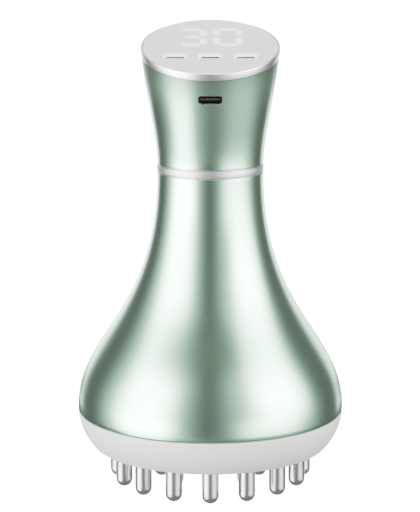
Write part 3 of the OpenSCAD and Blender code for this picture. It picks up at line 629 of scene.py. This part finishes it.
# Lit strokes of the two digits on the face, as (middle x, middle y, half width, half height)
STROKES = (
    (-7.2, 16.7, 3.5, 1.2), (-6.8, 9.3, 2.5, 1.0), (-7.3, 1.7, 3.6, 1.3),
    (-2.7, 13.1, 1.25, 3.0), (-2.7, 5.3, 1.3, 3.3),
    (6.6, 16.7, 3.5, 1.2), (6.6, 1.7, 3.5, 1.3),
    (2.4, 13.1, 1.25, 3.0), (2.4, 5.3, 1.3, 3.3), (10.7, 13.1, 1.25, 3.0), (10.7, 5.3, 1.3, 3.3),
)
# Width of the soft edge of a stroke
STROKE_EDGE = 1.0
# A small dimmer spot in the middle of each upright stroke
SPOT_R, SPOT_DIM = 0.55, 0.35
# The field round the digits, as (left, low, right, high), and the steps of its fine grid
GLASS, GLASS_STEP = (-12.5, -2.0, 14.0, 19.5), 0.25


def glow_at(x, y):
    """How strongly the lit strokes shine through the panel at a point of the face, from 0 to 1."""
    best = 0.0
    for mx, my, half_w, half_h in STROKES:
        round_r = min(half_w, half_h)
        dx = max(abs(x - mx) - (half_w - round_r), 0.0)
        dy = max(abs(y - my) - (half_h - round_r), 0.0)
        edge = (round_r - math.hypot(dx, dy)) / STROKE_EDGE + 0.5
        level = min(1.0, max(0.0, edge))
        if half_h > half_w:
            level -= SPOT_DIM * math.exp(-((x - mx) ** 2 + (y - my) ** 2) / SPOT_R ** 2)
        best = max(best, level)
    return best * best * (3 - 2 * best)


def panel_mesh():
    """The panel with its button holes, and a fine grid on top where the digits shine through."""
    bm = bmesh.new()
    edge_round = 0.15

    def outer(outside, depth):
        return [bm.verts.new(point) for point in rim_loop(outside, depth)]

    def holes(grow, depth):
        """The outline of each button hole."""
        w, d = BUTTON_W + 2 * BUTTON_GAP + 2 * grow, BUTTON_D + 2 * BUTTON_GAP + 2 * grow
        loops = []
        for i in (-1, 0, 1):
            points = [on_face(i * BUTTON_PITCH + x, BUTTON_Y + y, depth) for x, y in pill(w, d)]
            loops.append([bm.verts.new(point) for point in points])
        return loops

    side = -(BEZEL_RIM + PANEL_GAP)
    rims = [outer(side - edge_round, 0), outer(side, edge_round), outer(side, PANEL_T)]
    bores = [holes(edge_round, 0), holes(0, edge_round), holes(0, PANEL_T)]
    for walls in (rims, *zip(*bores)):
        for quad in ring_faces(walls):
            bm.faces.new(quad)
    left, low, right, high = GLASS
    columns = np.linspace(left, right, round((right - left) / GLASS_STEP) + 1)
    rows = np.linspace(low, high, round((high - low) / GLASS_STEP) + 1)
    grid = [[bm.verts.new(on_face(x, y)) for x in columns] for y in rows]
    for near, far in zip(grid, grid[1:]):
        for i in range(len(near) - 1):
            bm.faces.new((near[i], near[i + 1], far[i + 1], far[i]))
    right_side = [row[-1] for row in grid[:-1]]
    left_side = [row[0] for row in grid[:0:-1]]
    border = grid[0][:-1] + right_side + grid[-1][:0:-1] + left_side
    fill(bm, [rims[0], border] + bores[0])
    fill(bm, [rims[-1]] + bores[-1])
    return take_out(bm)


def build_panel():
    panel = add_mesh(
        "panel_plate", *panel_mesh(), PANEL, replaces="control_panel", slot="panel_plastic", sharp=30)
    glow = panel.data.attributes.new("glow", "FLOAT", "POINT")
    values = []
    for vertex in panel.data.vertices:
        x, y, _ = vertex.co / MM
        values.append(glow_at(x, y / math.cos(TILT)))
    glow.data.foreach_set("value", values)


def build_key(side, middle_x):
    """A key: a flange below the panel, a foot whose straight sides carry painted shade, and a cap with a
    slight dip.
    """
    # the straight sides are drawn in from undercut_depth below the face up to foot_high above it, and carry
    # painted shade, near black, between foot_low and foot_high
    undercut, undercut_depth = 0.3, 0.3
    foot_low, foot_high, cap_low = 0.06, 0.57, 0.59
    cap_round = 0.15
    # where the cap's outline has shrunk by the first of a pair, its top has sunk by the second
    dips = ((0.7, 0.03), (1.1, 0.08))
    flange_top = PANEL_T + BUTTON_PLAY
    straight = (BUTTON_W - BUTTON_D) / 2
    spare = 0.01
    rings, verts = [], []

    def loop(shrink, depth, drawn_in=0.0):
        """One outline of the key, with only its straight sides drawn in."""
        points = pill(BUTTON_W - 2 * shrink, BUTTON_D - 2 * shrink)
        rings.append(range(len(verts), len(verts) + len(points)))
        for x, y in points:
            shift = drawn_in if abs(x) <= straight + spare else 0.0
            verts.append(on_face(middle_x + x, BUTTON_Y + y - math.copysign(shift, y), depth))

    loop(-BUTTON_FLANGE, flange_top + BUTTON_FLANGE_T)
    loop(-BUTTON_FLANGE, flange_top)
    loop(0, flange_top)
    for depth in (undercut_depth, -foot_low, -foot_high):
        loop(0, depth, undercut)
    loop(0, -cap_low)
    for degrees in range(0, 91, 15):
        turn = math.radians(degrees)
        loop(cap_round * (1 - math.cos(turn)), -BUTTON_H + cap_round * (1 - math.sin(turn)))
    for shrink, dip in dips:
        loop(shrink, -BUTTON_H + dip)
    faces = ring_faces(rings) + [tuple(rings[0]), tuple(rings[-1])]
    key = add_mesh(
        f"{side}_key_cap", verts, faces, KEY,
        replaces=f"{side}_button", slot="key_white", body=f"{side}_key", sharp=50)
    key.data.materials.append(KEY_FOOT_SHADE)
    for face in key.data.polygons:
        x, y, z = face.center / MM
        up = (z - FACE_Z) * math.cos(TILT) - y * math.sin(TILT)
        # painted shade: the straight sides of the foot take the near-black material
        if foot_low < up < foot_high and abs(x - middle_x) < straight:
            face.material_index = 1


def build_head():
    """The skirt and lip as one turned wall, and a floor with a hole for each pin."""
    rise, run = BELLY_Z - PIN_REACH, BELLY_R - BASE_R
    big = (run * run + rise * rise) / (2 * run)
    mid = np.array((BELLY_R - big, BELLY_Z))
    seam_r = mid[0] + math.sqrt(big ** 2 - SEAM_DROP ** 2)
    seam_angle = -math.asin(SEAM_DROP / big)
    edge_angle = -math.asin((rise - EDGE_ROUND) / (big - EDGE_ROUND))
    edge_mid = mid + (big - EDGE_ROUND) * np.array((math.cos(edge_angle), math.sin(edge_angle)))
    lip_r = seam_r - WALL - FIT_GAP
    lip_in = lip_r - LIP_T
    lip_top = SEAM_Z + LIP_H
    floor_z = PIN_REACH + FLOOR_T
    inner_r = big - HEAD_WALL
    inner_start = -math.asin((BELLY_Z - floor_z) / inner_r)
    # where the skirt's inside gives way to the lip: its angle in radians, and how far below the seam
    inner_end, lip_start = -0.3, 1.0
    # the eased edge at the seam: how far inside its corner it starts, how far inside and below the corner it
    # passes, and the angle below the seam at which it meets the skirt
    ease_start, ease_corner, ease_turn = 0.3, 0.08, 0.012

    def arc(centre, r, start, end, count):
        turned = np.linspace(start, end, count)
        return [tuple(centre + r * np.array((math.cos(a), math.sin(a)))) for a in turned]

    wall = arc(mid, inner_r, inner_start, inner_end, count=24)
    wall += [(lip_in, SEAM_Z - lip_start), (lip_in, lip_top), (lip_r, lip_top), (lip_r, SEAM_Z)]
    wall += [(seam_r - ease_start, SEAM_Z), (seam_r - ease_corner, SEAM_Z - ease_corner)]
    wall += arc(mid, big, seam_angle - ease_turn, edge_angle, count=40)
    wall += arc(edge_mid, EDGE_ROUND, edge_angle, -math.pi / 2, count=10)[1:]
    verts, faces = lathe(wall, close=False)

    bm = bmesh.new()
    made = [bm.verts.new(v) for v in verts]
    for face in faces:
        bm.faces.new([made[i] for i in face])
    places = []
    for ring_r, count in PIN_RINGS:
        for i in range(count):
            a = -math.pi / 2 + 2 * math.pi * i / count
            places.append((ring_r * math.cos(a), ring_r * math.sin(a)))
    bore, bore_round, bore_steps = PIN_R + PIN_GAP, 0.3, 40
    turns = [2 * math.pi * k / bore_steps for k in range(bore_steps)]

    def holes(r, z):
        """A circle of vertices round each pin."""
        circle = [(r * math.cos(t), r * math.sin(t)) for t in turns]
        return [[bm.verts.new((x + dx, y + dy, z)) for dx, dy in circle] for x, y in places]

    levels = [holes(bore + bore_round, PIN_REACH), holes(bore, PIN_REACH + bore_round), holes(bore, floor_z)]
    for hole in zip(*levels):
        for quad in ring_faces(hole):
            bm.faces.new(quad)
    fill(bm, [made[-TURN_STEPS:]] + levels[0])
    fill(bm, [made[:TURN_STEPS]] + levels[-1])
    add_mesh("head_skirt", *take_out(bm), WHITE, replaces="head_base", slot="head_white")


build_bell()
build_neck()
build_band()
build_bezel()
build_panel()
for place, side in enumerate(("left", "middle", "right")):
    build_key(side, (place - 1) * BUTTON_PITCH)
build_head()


# Studio


# Tone of the picture: light is shown as it is up to STRAIGHT, and then bends over to white at WHITE_LIGHT
STRAIGHT, BEND, WHITE_LIGHT = 0.3, 0.62, 5.0
# The dark card, a painted shadow of the object on the table: its height, and its near edge, where it starts
# to brighten and its far edge, from the axis
CARD_HEIGHT, CARD_NEAR, CARD_DARK, CARD_END = 1.0, 62, 165, 450
# How brightly it glows up to that start, and at its far edge
CARD_DIM, CARD_BRIGHT = 0.12, 1.15
# The directions in which it starts and ends, in degrees from the right by way of the back
CARD_TURNS, CARD_STEPS = (-25, 205), 92
# It turns clear at its sides, while x grows from the first to the second of these shares of y, but not near
# the object: a round patch stays, with its middle CARD_MIDDLE behind the axis, and fades between two radii
CARD_SIDES, CARD_MIDDLE, CARD_PATCH = (0.5, 1.2), 60, (90, 140)


def disc(r, rings, steps):
    """A flat round sheet that faces up, whose rings get wider outwards."""
    verts = [(0, 0, 0)]
    for k in range(1, rings + 1):
        for i in range(steps):
            a = 2 * math.pi * i / steps
            reach = r * (k / rings) ** 3
            verts.append((reach * math.cos(a), reach * math.sin(a), 0))
    faces = [(0, 1 + i, 1 + (i + 1) % steps) for i in range(steps)]
    loops = [range(1 + k * steps, 1 + (k + 1) * steps) for k in range(rings)]
    return verts, faces + [f[::-1] for f in ring_faces(loops)]


def dome(r, rows, steps):
    """The inside of a ball, from pole to pole."""
    pole = 0.01
    profile = [(r * math.sin(a), r * math.cos(a)) for a in np.linspace(pole, math.pi - pole, rows)]
    return lathe(profile, close=False, steps=steps)


def add_stage(name, verts, faces, material):
    """A surface that only the camera sees: it neither lights the object nor shows in its gloss."""
    surface = new_object(name, verts, faces, material)
    surface.visible_diffuse = False
    surface.visible_glossy = False
    surface.visible_transmission = False
    return surface


def white_stage(name, grain, dark, light):
    """A surface that shines as white as the picture gets, over a colour with a faint mottle."""
    finish = Finish(name, Roughness=0.9, Emission_Color=(1, 1, 1, 1), Emission_Strength=WHITE_LIGHT)
    finish.tint(finish.noise(grain), (dark, dark, dark), (light, light, light))
    return finish


def build_stage():
    pale = white_stage("pale_floor", 400, 0.84, 0.86)
    # from below the floor is clear, so that the underside can be looked at
    pale.clear_where(pale.add("ShaderNodeNewGeometry").outputs["Backfacing"])
    add_stage("floor", *disc(r=6000, rings=12, steps=96), pale.material)
    plain = white_stage("pale_backdrop", 4000, 0.50, 0.52)
    backdrop = add_stage("backdrop", *dome(r=6500, rows=24, steps=48), plain.material)
    backdrop.visible_shadow = False


def build_shadow_card():
    """A dark card on the table behind, a painted shadow of the object, which only shows in the gloss of the
    lower rims.
    """
    card = Finish("painted_table_shadow", Roughness=0.9, Base_Color=(0, 0, 0, 1), Emission_Strength=1.0)
    reach = card.add("ShaderNodeVectorMath", {0: card.coords}, operation="LENGTH").outputs["Value"]
    # painted shadow: dim close to the object, brightening towards the far edge
    card.link(card.span(reach, CARD_DARK * MM, CARD_END * MM, CARD_DIM, CARD_BRIGHT), "Emission Color")
    x, y, _ = card.parts(card.coords)
    aside = card.maths("DIVIDE", card.maths("ABSOLUTE", x), card.maths("MAXIMUM", y, MM))
    ends = {0: card.coords, 1: (0, CARD_MIDDLE * MM, CARD_HEIGHT * MM)}
    away = card.add("ShaderNodeVectorMath", ends, operation="DISTANCE").outputs["Value"]
    outside_patch = card.span(away, *(r * MM for r in CARD_PATCH))
    card.clear_where(card.maths("MULTIPLY", card.span(aside, *CARD_SIDES), outside_patch))
    turns = np.radians(np.linspace(*CARD_TURNS, CARD_STEPS + 1))
    verts = [(r * math.cos(a), r * math.sin(a), CARD_HEIGHT) for a in turns for r in (CARD_NEAR, CARD_END)]
    faces = [(2 * k, 2 * k + 1, 2 * k + 3, 2 * k + 2) for k in range(CARD_STEPS)]
    surface = add_stage("painted_table_shadow", verts, faces, card.material)
    surface.visible_glossy = True
    surface.visible_camera = False
    surface.visible_shadow = False


# The studio's soft boxes: middle azimuth from the front to the right, half width and soft edge, then middle
# elevation, half height and soft edge, all in degrees, and brightness
LAMPS = {
    "left_box": (-61, 22, 15, 13, 26, 8, 5.2),
    "left_box_foot": (-58, 21, 12, -6, 8, 4, 2.6),
    "left_glow": (-62, 37, 24, 15, 33, 8, 1.15),
    "left_low_box": (-60, 18, 14, -28, 11, 4, 3.2),
    "left_low_glow": (-54, 34, 22, -27, 11, 4, 0.45),
    "right_box": (67, 22, 14, 23, 19, 18, 5.6),
    "right_box_foot": (54, 22, 16, -5, 10, 6, 2.1),
    "right_glow": (58, 34, 28, 15, 33, 8, 1.15),
    "right_low_glow": (60, 30, 24, -27, 11, 4, 0.30),
    "left_rim_strip": (-163, 12, 10, 6, 29, 8, 2.0),
    "right_rim_strip": (154, 9, 9, -4, 18, 5, 1.2),
    "back_glow": (180, 34, 14, 12, 44, 12, 0.6),
    "low_glow": (0, 100, 30, -28, 13, 5, 0.12),
    "ceiling": (0, 200, 10, 90, 23, 10, 3.2),
    "table_bounce": (0, 200, 10, -90, 38, 12, 0.15),
}
# The even light from every side
ROOM = 0.16


def build_light():
    """A studio of large soft boxes with dark gaps between them, painted on the world by direction."""
    world = bpy.data.worlds.new("studio")
    world.use_nodes = True
    bpy.context.scene.world = world
    sky = Nodes(world.node_tree)

    def window(distance, half, edge):
        """1 inside the half width and 0 outside it, with a soft edge on both sides of it."""
        return sky.span(sky.maths("ABSOLUTE", distance), half + edge, half - edge)

    x, y, z = sky.parts(sky.add("ShaderNodeTexCoord").outputs["Generated"])
    around = sky.maths("DEGREES", sky.maths("ARCTAN2", x, sky.maths("MULTIPLY", y, -1.0)))
    upward = sky.maths("DEGREES", sky.maths("ARCSINE", z))
    total = ROOM
    for turn, half_w, edge_w, rise, half_h, edge_h, brightness in LAMPS.values():
        offset = sky.maths("WRAP", sky.maths("SUBTRACT", around, turn), 180.0, -180.0)
        across = window(offset, half_w, edge_w)
        along = window(sky.maths("SUBTRACT", upward, rise), half_h, edge_h)
        total = sky.maths("MULTIPLY_ADD", sky.maths("MULTIPLY", across, along), brightness, total)
    sky.connect(total, "Background", "Strength")
    sky.tree.nodes["Background"].inputs["Color"].default_value = (1, 1, 1, 1)


def shown(light):
    """How bright a light looks in the picture, from 0 to 1."""
    over = max(light - STRAIGHT, 0) / BEND
    most = (WHITE_LIGHT - STRAIGHT) / BEND
    return min(light, STRAIGHT) + (1 - STRAIGHT) * over * (1 + over / most ** 2) / (1 + over)


def set_tone():
    tone_points = 16
    view = bpy.context.scene.view_settings
    view.view_transform = "Standard"
    view.look = "None"
    view.use_curve_mapping = True
    mapping = view.curve_mapping
    mapping.white_level = (WHITE_LIGHT, WHITE_LIGHT, WHITE_LIGHT)
    # the fourth curve is the one for all three colours
    all_colours = mapping.curves[3]
    for light in np.geomspace(STRAIGHT / 2, WHITE_LIGHT, tone_points)[:-1]:
        all_colours.points.new(light / WHITE_LIGHT, shown(light))
    mapping.update()


build_stage()
build_shadow_card()
build_light()
set_tone()
